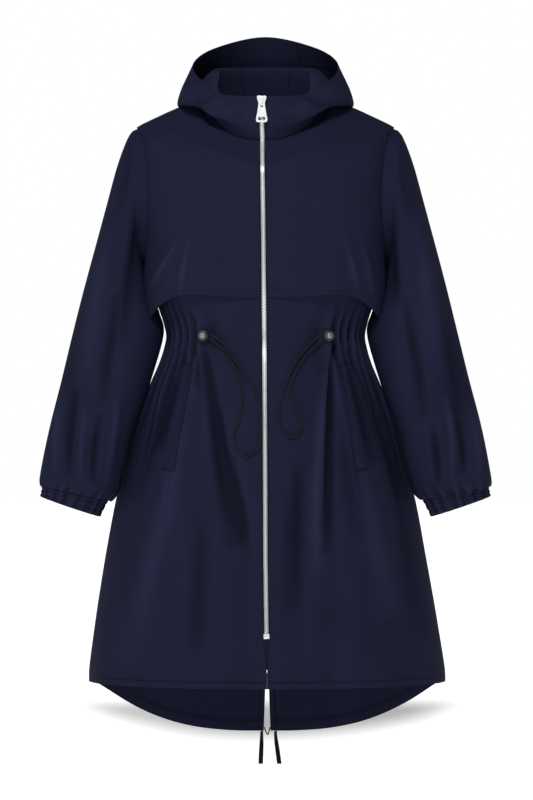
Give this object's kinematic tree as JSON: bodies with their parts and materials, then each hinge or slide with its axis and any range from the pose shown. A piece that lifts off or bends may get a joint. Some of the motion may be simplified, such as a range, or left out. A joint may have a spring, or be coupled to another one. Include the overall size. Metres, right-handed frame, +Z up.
{
  "type": "hooded parka",
  "caption": "Hooded navy parka with a fishtail back, gathered corded waist, storm flaps, slanted pocket welts, elastic cuffs and a silver zip.",
  "frame": {"origin": "middle of the neck at shoulder height, where a wearer carries the coat", "axes": "+Z up, towards the hood; -Y out of the front; +X towards the wearer's left sleeve"},
  "size_m": [0.7116, 0.3977, 1.204],
  "materials": {
    "navy_cloth": "matt",
    "zip_tape": "matt",
    "silver_metal": "satin",
    "black_plastic": "satin",
    "nickel": "polished",
    "navy_cord": "matt",
    "dark_tape": "matt"
  },
  "bodies": {
    "coat": {"front_left": "navy_cloth", "front_right": "navy_cloth", "back_left": "navy_cloth", "back_right": "navy_cloth", "storm_flap_left": "navy_cloth", "storm_flap_right": "navy_cloth", "pocket_welt_left": "navy_cloth", "pocket_welt_right": "navy_cloth", "sleeve_left": "navy_cloth", "sleeve_right": "navy_cloth", "cuff_left": "navy_cloth", "cuff_right": "navy_cloth", "hood_side_left": "navy_cloth", "hood_side_right": "navy_cloth", "hood_centre": "navy_cloth", "zip_tape": "zip_tape", "zip_chain": "silver_metal", "zip_end_box": "silver_metal", "zip_slider": "silver_metal", "toggle_ring_left": "black_plastic", "toggle_ring_right": "black_plastic", "toggle_cap_left": "nickel", "toggle_cap_right": "nickel", "cord_left": "navy_cord", "cord_right_inner": "navy_cord", "cord_right_outer": "navy_cord", "cord_knot": "navy_cord", "hem_cord": "navy_cord", "hem_tape_left": "dark_tape", "hem_tape_right": "dark_tape"},
    "pull_tab": {"zip_pull_tab": "silver_metal"}
  },
  "joints": [
    {"name": "pull_tab_hinge", "type": "hinge", "parent": "coat", "child": "pull_tab", "pos_m": [-0.006, -0.09845, 0.0112], "axis": [1, 0, 0], "range_deg": [-140, 0]}
  ]
}
